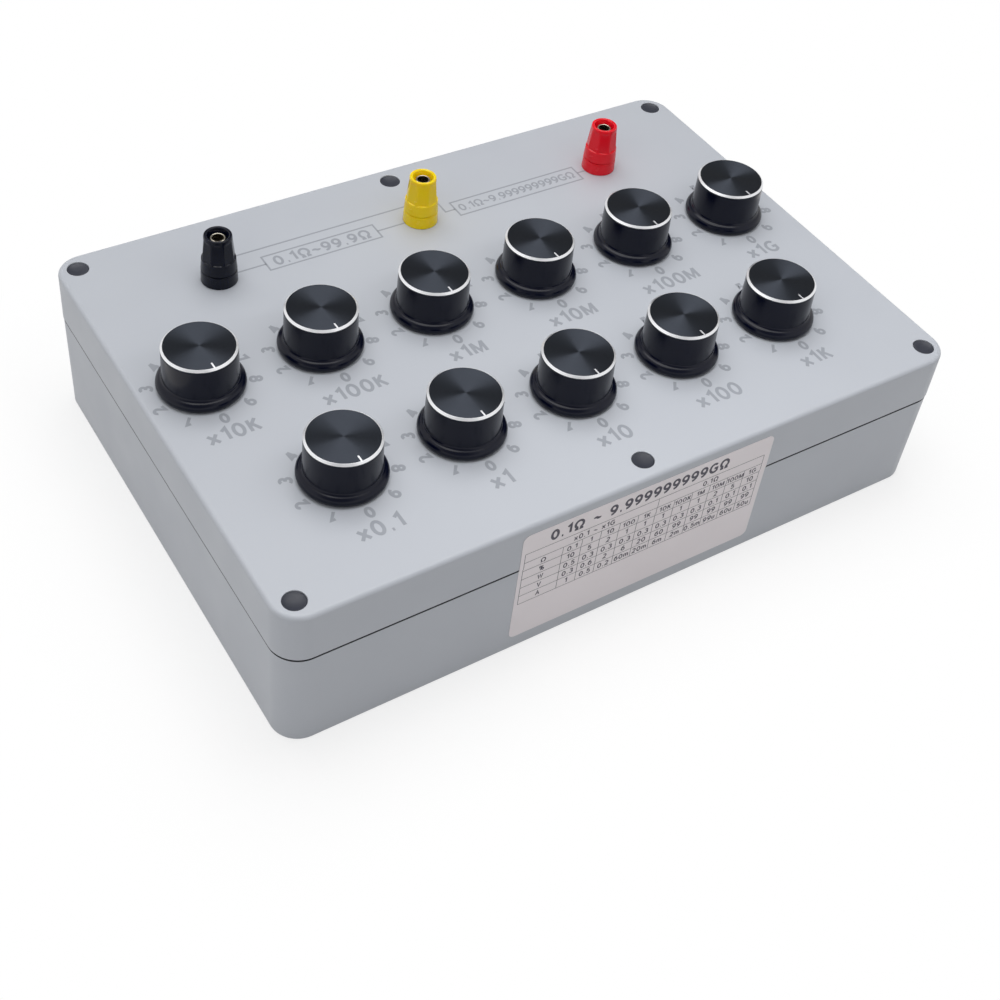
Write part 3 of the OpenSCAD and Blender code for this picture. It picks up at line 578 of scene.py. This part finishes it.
for dye, (x, y) in postPlaces.items():
    for kind, node, mesh, body in (("postCollar-", "post_collar_", collarMesh, "case"),
                                   ("postCap-", "post_cap_", capMesh, "cap_" + dye)):
        dyed = mesh.copy()
        dyed.materials.append(postSkins[dye])
        placePiece(kind + dye, dyed, body, (x, y, panelZ * mm), [node + dye])

# Studs: the metal in the posts, with a rounded mouth round its plug socket
studShape = {
    "radius": 2.7, "tail": 2.0, "seat": 1.22, "socket": 2.05, "depth": 16, "mouth": 0.25, "bevel": 0.2,
    "edgeSteps": 6, "steps": 96,
}
studFoot, studTop = (end.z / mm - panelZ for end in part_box("post_studs"))
mouth = studShape["mouth"]
bevel = studShape["bevel"]
studProfile = [(0, studFoot), (studShape["tail"], studFoot), (studShape["tail"], studShape["seat"]),
               (studShape["radius"], studShape["seat"])]
studProfile += arcPoints((studShape["radius"] - mouth, studTop - mouth), mouth, 0, 90, studShape["edgeSteps"])
studProfile += arcPoints((studShape["socket"] + bevel, studTop - bevel), bevel, 90, 180,
                         studShape["edgeSteps"])
studProfile += [(studShape["socket"], studTop - studShape["depth"]), (0, studTop - studShape["depth"])]
studForm = bmesh.new()
lathe(studForm, studProfile, studShape["steps"])
studMesh = makeMesh("postStud", studForm, nickelPlate)
for dye, (x, y) in postPlaces.items():
    placePiece("postStud-" + dye, studMesh, "case", (x, y, panelZ * mm), ["post_studs"])
print("posts ready")

# Printed marks: thin solids of ink on the panel and on the label, drawn stroke by stroke
inkShape = {"thick": 0.02, "lift": 0.01, "overlap": 0.004, "bowStep": 20, "leastSteps": 3, "sharpest": 0.5}
tiny = 1e-6  # shorter than any real length
atEnd = 0.001  # a share of a line that counts as its end


def bow(centreX, centreY, wide, high, start, end):  # part of an ellipse, angles in degrees
    steps = max(inkShape["leastSteps"], round(abs(end - start) / inkShape["bowStep"]))
    angles = [math.radians(start + (end - start) * i / steps) for i in range(steps + 1)]
    return [(centreX + wide * math.cos(a), centreY + high * math.sin(a)) for a in angles]


# Plain upright signs: width, then the strokes, for a height of one
signs = {
    "0": (0.60, [bow(0.30, 0.50, 0.30, 0.50, 0, 360)]),
    "1": (0.34, [[(0.00, 0.78), (0.30, 1.00), (0.30, 0.00)]]),
    "2": (0.58, [bow(0.28, 0.71, 0.27, 0.29, 155, -35) + [(0.00, 0.00), (0.58, 0.00)]]),
    "3": (0.57, [bow(0.26, 0.76, 0.26, 0.24, 150, -95), bow(0.24, 0.265, 0.32, 0.265, 95, -145)]),
    "4": (0.66, [[(0.46, 0.00), (0.46, 1.00)], [(0.43, 0.99), (0.00, 0.27), (0.66, 0.27)]]),
    "5": (0.56, [[(0.52, 1.00), (0.10, 1.00), (0.07, 0.54)] + bow(0.25, 0.315, 0.31, 0.315, 112, -145)]),
    "6": (0.59, [bow(0.30, 0.31, 0.29, 0.31, 0, 360), bow(0.53, 0.36, 0.52, 0.64, 92, 180)]),
    "7": (0.57, [[(0.00, 1.00), (0.57, 1.00), (0.18, 0.00)]]),
    "8": (0.60, [bow(0.30, 0.76, 0.25, 0.24, 0, 360), bow(0.30, 0.265, 0.30, 0.265, 0, 360)]),
    "9": (0.59, [bow(0.29, 0.69, 0.29, 0.31, 0, 360), bow(0.06, 0.64, 0.52, 0.64, 0, -88)]),
    "x": (0.56, [[(0.00, 0.74), (0.56, 0.00)], [(0.00, 0.00), (0.56, 0.74)]]),
    "K": (0.58, [[(0.02, 0.00), (0.02, 1.00)], [(0.53, 1.00), (0.04, 0.42)], [(0.20, 0.60), (0.58, 0.00)]]),
    "M": (0.78, [[(0.00, 0.00), (0.00, 1.00)], [(0.02, 1.00), (0.39, 0.12), (0.76, 1.00)],
                 [(0.78, 0.00), (0.78, 1.00)]]),
    "G": (0.74, [bow(0.42, 0.50, 0.42, 0.50, 48, 316) + [(0.73, 0.46), (0.44, 0.46)]]),
    "Ω": (0.84, [[(0.00, 0.00), (0.24, 0.00)] + bow(0.42, 0.57, 0.40, 0.43, 238, -58)
                 + [(0.60, 0.00), (0.84, 0.00)]]),
    "~": (0.56, [bow(0.14, 0.40, 0.14, 0.10, 180, 20) + bow(0.42, 0.46, 0.14, 0.10, 200, 360)]),
    ".": (0.14, [[(0.00, 0.00), (0.14, 0.00)]]),
    "%": (0.80, [bow(0.16, 0.78, 0.16, 0.22, 0, 360), bow(0.64, 0.22, 0.16, 0.22, 0, 360),
                 [(0.62, 1.00), (0.18, 0.00)]]),
    "W": (0.90, [[(0.00, 1.00), (0.22, 0.00), (0.45, 0.92), (0.68, 0.00), (0.90, 1.00)]]),
    "V": (0.62, [[(0.00, 1.00), (0.31, 0.00), (0.62, 1.00)]]),
    "A": (0.64, [[(0.00, 0.00), (0.32, 1.00), (0.64, 0.00)], [(0.12, 0.34), (0.52, 0.34)]]),
    "m": (0.80, [[(0.00, 0.00), (0.00, 0.70)], bow(0.20, 0.46, 0.20, 0.24, 180, 0) + [(0.40, 0.00)],
                 bow(0.60, 0.46, 0.20, 0.24, 180, 0) + [(0.80, 0.00)]]),
    "u": (0.44, [[(0.00, 0.70)] + bow(0.22, 0.24, 0.22, 0.24, 180, 360) + [(0.44, 0.70)],
                 [(0.44, 0.30), (0.44, 0.00)]]),
    " ": (0.30, []),
}


def bendPath(path, heights):  # adds a point wherever the path crosses a bend of the surface
    spots = [Vector(path[0])]
    for start, end in zip(path, path[1:]):
        start, end = Vector(start), Vector(end)
        rise = end.y - start.y
        shares = [(height - start.y) / rise for height in heights if abs(rise) > tiny]
        spots += [start.lerp(end, share) for share in sorted(shares) if atEnd < share < 1 - atEnd]
        spots.append(end)
    return spots


def printStroke(shape, surface, path, width, layer=0):  # a line of ink with square ends, or a loop
    thick = inkShape["thick"] + layer * inkShape["overlap"]  # strokes that cross lie at different heights
    spots = bendPath(path, surface["bends"])
    loop = (spots[0] - spots[-1]).length < tiny
    if loop:
        spots.pop()
    rings = []
    for k, spot in enumerate(spots):
        after = spots[(k + 1) % len(spots)] - spot
        before = spot - spots[k - 1]
        if not loop and k == 0:
            before = after
        if not loop and k == len(spots) - 1:
            after = before
        sides = [Vector((-run.y, run.x)).normalized() for run in (before, after)]
        mitre = (sides[0] + sides[1]).normalized()
        mitre *= width / 2 / max(inkShape["sharpest"], mitre.dot(sides[0]))
        rings.append([surface["place"](*(spot + mitre * hand), lift)
                      for hand, lift in ((-1, 0), (1, 0), (1, thick), (-1, thick))])
    made = skin(shape, rings, loop)
    if not loop:
        shape.faces.new(made[0])
        shape.faces.new(made[-1])


def printWords(shape, surface, words, art, x, y, turn=0.0):  # the line's middle lies at x, y
    tall = art["height"] - art["weight"]
    widths = [signs[sign][0] * tall + art["weight"] for sign in words]
    gap = art["gap"] * art["height"]
    start = -(sum(widths) + gap * (len(words) - 1)) / 2
    for sign, width in zip(words, widths):
        for layer, stroke in enumerate(signs[sign][1]):
            spots = [Vector((start + art["weight"] / 2 + tall * u, tall * (v - 0.5))) for u, v in stroke]
            path = [Matrix.Rotation(turn, 2) @ spot + Vector((x, y)) for spot in spots]
            printStroke(shape, surface, path, art["weight"], layer)
        start += width + gap


def onPanel(x, y, lift):
    return Vector((x, y, panelZ + inkShape["lift"] + lift)) * mm


panelFace = {"place": onPanel, "bends": []}

# Dial scales, with 0 at the front and counting clockwise, and decade legends
scaleArt = {
    "ring": 17.7, "firstAngle": -90, "stepAngle": -36, "count": 10, "legendDrop": 24.4,
    "digits": {"height": 4.7, "weight": 1.08, "gap": 0.2},
    "legends": {"height": 6.5, "weight": 1.22, "gap": 0.12},
}
legends = {
    "0r1": "x0.1", "1r": "x1", "10r": "x10", "100r": "x100", "1k": "x1K", "10k": "x10K", "100k": "x100K",
    "1m": "x1M", "10m": "x10M", "100m": "x100M", "1g": "x1G",
}
scalePrint = bmesh.new()
for name, place in dialPlaces.items():
    x, y = (along / mm for along in place)
    for digit in range(scaleArt["count"]):
        angle = math.radians(scaleArt["firstAngle"] + scaleArt["stepAngle"] * digit)
        digitX = x + scaleArt["ring"] * math.cos(angle)
        digitY = y + scaleArt["ring"] * math.sin(angle)
        printWords(scalePrint, panelFace, str(digit), scaleArt["digits"], digitX, digitY, angle - math.pi / 2)
    printWords(scalePrint, panelFace, legends[name], scaleArt["legends"], x, y - scaleArt["legendDrop"])
placePiece("dialScales", makeMesh("dialScales", scalePrint, panelInk), "case")

# Terminal diagram between the posts: two boxed ranges and the lines that join them
diagramArt = {
    "line": 0.65,
    "joins": [
        [(-82.5, 57.8), (-64.4, 57.8)], [(-19.4, 57.8), (-1.5, 57.8)], [(69.4, 57.2), (79.5, 57.2)],
        [(-82.5, 57.8), (-82.5, 66.6), (9.4, 66.6), (9.4, 57.2), (13.6, 57.2)],
    ],
    "ranges": [
        {"words": "0.1Ω~99.9Ω", "low": (-64.4, 54.0), "high": (-19.4, 62.0),
         "letters": {"height": 5.4, "weight": 1.0, "gap": 0.12}},
        {"words": "0.1Ω~9.999999999GΩ", "low": (13.6, 53.0), "high": (69.4, 61.4),
         "letters": {"height": 4.2, "weight": 0.72, "gap": 0.06}},
    ],
}
diagramPrint = bmesh.new()
for line in diagramArt["joins"]:
    printStroke(diagramPrint, panelFace, line, diagramArt["line"])
for span in diagramArt["ranges"]:
    (left, bottom), (right, top) = span["low"], span["high"]
    box = [(left, bottom), (right, bottom), (right, top), (left, top), (left, bottom)]
    printStroke(diagramPrint, panelFace, box, diagramArt["line"])
    printWords(diagramPrint, panelFace, span["words"], span["letters"],
               (left + right) / 2, (bottom + top) / 2)
placePiece("terminalDiagram", makeMesh("terminalDiagram", diagramPrint, panelInk), "case")

# Label: a ruled table of plain numbers, one column for each decade
labelArt = {
    "film": 0.17, "left": -48.5, "right": 47.5, "top": 47.5, "row": 4.1, "head": 14.8, "split": 3.4,
    "line": 0.16, "titleX": -4, "titleZ": 51.6, "rangeX": -22, "stepX": 25,
    "digits": {"height": 2.4, "weight": 0.4, "gap": 0.14},
    "title": {"height": 4.8, "weight": 0.95, "gap": 0.12},
}
labelRows = [
    ["Ω", "0.1", "1", "10", "100", "1K", "10K", "100K", "1M", "10M", "100M", "1G"],
    ["%", "10", "5", "2", "1", "1", "1", "1", "1", "2", "5", "10"],
    ["W", "0.5", "0.3", "0.3", "0.3", "0.3", "0.3", "0.3", "0.3", "0.1", "0.1", "0.1"],
    ["V", "0.3", "0.6", "2", "6", "20", "60", "99", "99", "99", "99", "99"],
    ["A", "1", "0.5", "0.2", "60m", "20m", "6m", "2m", "0.5m", "99u", "60u", "50u"],
]


def onLabel(x, z, lift):  # follows the drafted walls and the step at the seam
    low = -baseHigh.y / mm + max(0, seamLow - z) * slope
    high = -lidHigh.y / mm + max(0, z - seamHigh) * slope
    share = min(1, max(0, (z - seamLow) / (seamHigh - seamLow)))
    wallY = low * (1 - share) + high * share
    return Vector((x, wallY - labelArt["film"] - inkShape["lift"] - lift, z)) * mm


labelFace = {"place": onLabel, "bends": [seamLow, seamHigh]}
labelPrint = bmesh.new()
rowCount = len(labelRows) + 1
tableLow = labelArt["top"] - rowCount * labelArt["row"]
columnStep = (labelArt["right"] - labelArt["left"] - labelArt["head"]) / (len(labelRows[0]) - 1)
firstColumn = labelArt["left"] + labelArt["head"]
rowLines = [labelArt["top"] - k * labelArt["row"] for k in range(rowCount + 1)]
columnLines = [firstColumn + k * columnStep for k in range(len(labelRows[0]) - 1)]
ruled = [[(labelArt["left"], z), (labelArt["right"], z)] for z in rowLines]
ruled += [[(x, tableLow), (x, rowLines[0])] for x in (labelArt["left"], labelArt["right"])]
ruled += [[(x, tableLow), (x, rowLines[1])] for x in columnLines]
ruled.append([(labelArt["split"], rowLines[1]), (labelArt["split"], rowLines[0])])
for line in ruled:
    printStroke(labelPrint, labelFace, line, labelArt["line"])
headX = labelArt["left"] + labelArt["head"] / 2
for top, row in zip(rowLines[1:], labelRows):
    z = top - labelArt["row"] / 2
    printWords(labelPrint, labelFace, row[0], labelArt["digits"], headX, z)
    for column, words in zip(columnLines, row[1:]):
        printWords(labelPrint, labelFace, words, labelArt["digits"], column + columnStep / 2, z)
rangeZ = rowLines[0] - labelArt["row"] / 2
printWords(labelPrint, labelFace, "x0.1 ~ x1G", labelArt["digits"], labelArt["rangeX"], rangeZ)
printWords(labelPrint, labelFace, "0.1Ω", labelArt["digits"], labelArt["stepX"], rangeZ)
printWords(labelPrint, labelFace, "0.1Ω ~ 9.999999999GΩ", labelArt["title"], labelArt["titleX"],
           labelArt["titleZ"])
placePiece("labelPrint", makeMesh("labelPrint", labelPrint, labelInk), "case")
print("printed marks ready")

# The nodes that keep their own shape take their finish from the record's slots
for part in frame["record"]["subparts"]:
    node = nodes[part["node"]]
    if node.hide_render:
        continue
    finish = innerSkins.get(part["material_slot"])
    if part["node"] == "front_label":
        finish = labelFilm
    node.data.materials.clear()
    node.data.materials.append(finish)
print("frame finishes ready")

# Floor and studio: a pale floor, soft lamps and a white room that is dark where the photographer stood
stageShape = {
    "floorHalf": 6.0, "floorColour": "#D2D2D2", "floorRoughness": 0.9, "floorLift": 0.72, "liftReach": 0.06,
    "roomFill": 0.4,
}
white = linearColour("#FFFFFF")
# What gloss mirrors is darker towards the photographer and towards the unlit end of the room
darkPatches = [
    {"toward": (-0.425, -0.544, 0.723), "from": 0.7, "to": 0.96, "left": 0.3},
    {"toward": (0.438, 0.579, 0.688), "from": 0.7, "to": 0.92, "left": 0.2},
]


def anyRay(tree, *kinds):  # 1 for a ray of any of these kinds, 0 for the others
    rays = addNode(tree, "ShaderNodeLightPath").outputs
    found = rays[kinds[0]]
    for kind in kinds[1:]:
        found = addNode(tree, "ShaderNodeMath", {}, {0: found, 1: rays[kind]}, operation="MAXIMUM").outputs[0]
    return found


floorForm = bmesh.new()
bmesh.ops.create_grid(floorForm, x_segments=1, y_segments=1, size=stageShape["floorHalf"])
floorMaterial, floorTree, floorShader = startMaterial("paleFloorPaper", {
    "Base Color": linearColour(stageShape["floorColour"]), "Roughness": stageShape["floorRoughness"]})
# To the eye and in gloss, shadows show close to the case, and farther off the floor is plain white
caseHalf = (lidHigh.x, lidHigh.y, 0)
nought = (0, 0, 0)
outside = addNode(floorTree, "ShaderNodeTexCoord").outputs["Object"]
for step, other in (("ABSOLUTE", nought), ("SUBTRACT", caseHalf), ("MAXIMUM", nought)):
    outside = addNode(floorTree, "ShaderNodeVectorMath", {1: other}, {0: outside}, operation=step).outputs[0]
away = addNode(floorTree, "ShaderNodeVectorMath", {}, {0: outside}, operation="LENGTH")
whiteness = addNode(floorTree, "ShaderNodeMapRange",
                    {"From Max": stageShape["liftReach"], "To Min": stageShape["floorLift"], "To Max": 1.0},
                    {"Value": away.outputs["Value"]}, interpolation_type="SMOOTHSTEP")
shaded = addNode(floorTree, "ShaderNodeBsdfDiffuse", {"Color": white})
plain = addNode(floorTree, "ShaderNodeEmission", {"Color": white, "Strength": 1.0})
seenFloor = addNode(floorTree, "ShaderNodeMixShader", {},
                    {0: whiteness.outputs[0], 1: shaded.outputs[0], 2: plain.outputs[0]})
seen = anyRay(floorTree, "Is Camera Ray", "Is Glossy Ray", "Is Transmission Ray")
floorMix = addNode(floorTree, "ShaderNodeMixShader", {},
                   {0: seen, 1: floorShader.outputs[0], 2: seenFloor.outputs[0]})
floorTree.links.new(floorMix.outputs[0], floorTree.nodes["Material Output"].inputs["Surface"])
floor = bpy.data.objects.new("floor", makeMesh("floor", floorForm, floorMaterial))
scene.collection.objects.link(floor)

room = bpy.data.worlds.new("studioRoom")
scene.world = room
room.use_nodes = True
roomTree = room.node_tree
roomTree.nodes.clear()
toward = addNode(roomTree, "ShaderNodeTexCoord").outputs["Generated"]
shades = []
for patch in darkPatches:
    facing = addNode(roomTree, "ShaderNodeVectorMath", {1: patch["toward"]}, {0: toward},
                     operation="DOT_PRODUCT")
    shades.append(addNode(
        roomTree, "ShaderNodeMapRange",
        {"From Min": patch["from"], "From Max": patch["to"], "To Min": 1.0, "To Max": patch["left"]},
        {"Value": facing.outputs["Value"]}, interpolation_type="SMOOTHSTEP").outputs[0])
shade = addNode(roomTree, "ShaderNodeMath", {}, {0: shades[0], 1: shades[1]}, operation="MULTIPLY")
fill = addNode(roomTree, "ShaderNodeBackground", {"Color": white, "Strength": stageShape["roomFill"]})
mirrored = addNode(roomTree, "ShaderNodeBackground", {"Color": white}, {"Strength": shade.outputs[0]})
backdrop = addNode(roomTree, "ShaderNodeBackground", {"Color": white, "Strength": 1.0})
shiny = anyRay(roomTree, "Is Glossy Ray", "Is Transmission Ray")
lit = addNode(roomTree, "ShaderNodeMixShader", {}, {0: shiny, 1: fill.outputs[0], 2: mirrored.outputs[0]})
roomMix = addNode(roomTree, "ShaderNodeMixShader", {},
                  {0: anyRay(roomTree, "Is Camera Ray"), 1: lit.outputs[0], 2: backdrop.outputs[0]})
addNode(roomTree, "ShaderNodeOutputWorld", {}, {0: roomMix.outputs[0]})

lampShapes = {
    "overheadLamp": {"place": (0.05, 0.3, 1.4), "aim": (0, 0, 0), "size": (1.2, 1.2), "watts": 12.2,
                     "mirrored": True},
    "frontLamp": {"place": (-1.3, -0.6, 1.3), "aim": (0, 0, 0), "size": (1.0, 1.0), "watts": 2.8,
                  "mirrored": False},
    "stripLamp": {"place": (0.03, -0.08, 0.22), "aim": (0.03, -0.08, 0), "size": (0.24, 0.05),
                  "watts": 0.075, "mirrored": False},
}
for name, lamp in lampShapes.items():
    light = bpy.data.lights.new(name, "AREA")
    light.shape = "RECTANGLE"
    light.size, light.size_y = lamp["size"]
    light.energy = lamp["watts"]
    holder = bpy.data.objects.new(name, light)
    holder.location = lamp["place"]
    holder.visible_camera = False
    holder.visible_glossy = lamp["mirrored"]  # gloss shows only the overhead lamp
    sight = Vector(lamp["aim"]) - Vector(lamp["place"])
    holder.rotation_euler = sight.to_track_quat("-Z", "Y").to_euler()
    scene.collection.objects.link(holder)

# Camera at the photograph's standpoint, tilted a little to the side as the photograph is
cameraShape = {
    "lens": 56.21, "sensor": 36, "azimuth": -37.09, "elevation": 43.47, "roll": 7.32, "rise": -0.0923,
    "place": (-0.25268, -0.3385, 0.41223),
}
around, above, roll = (math.radians(cameraShape[k]) for k in ("azimuth", "elevation", "roll"))
back = Vector((math.sin(around) * math.cos(above), -math.cos(around) * math.cos(above), math.sin(above)))
right = (-back).cross(Vector((0, 0, 1))).normalized()
upward = back.cross(right)
rolledRight = right * math.cos(roll) + upward * math.sin(roll)
rolledUp = upward * math.cos(roll) - right * math.sin(roll)
camera = bpy.data.objects.new("camera", bpy.data.cameras.new("camera"))
camera.data.lens = cameraShape["lens"]
camera.data.sensor_width = cameraShape["sensor"]
camera.data.shift_y = cameraShape["rise"]  # the box lies in the upper part of the photograph
aim = Matrix((rolledRight, rolledUp, back)).transposed().to_4x4()
camera.matrix_world = Matrix.Translation(cameraShape["place"]) @ aim
scene.collection.objects.link(camera)
scene.camera = camera
scene.view_settings.view_transform = "Standard"
print("studio ready")
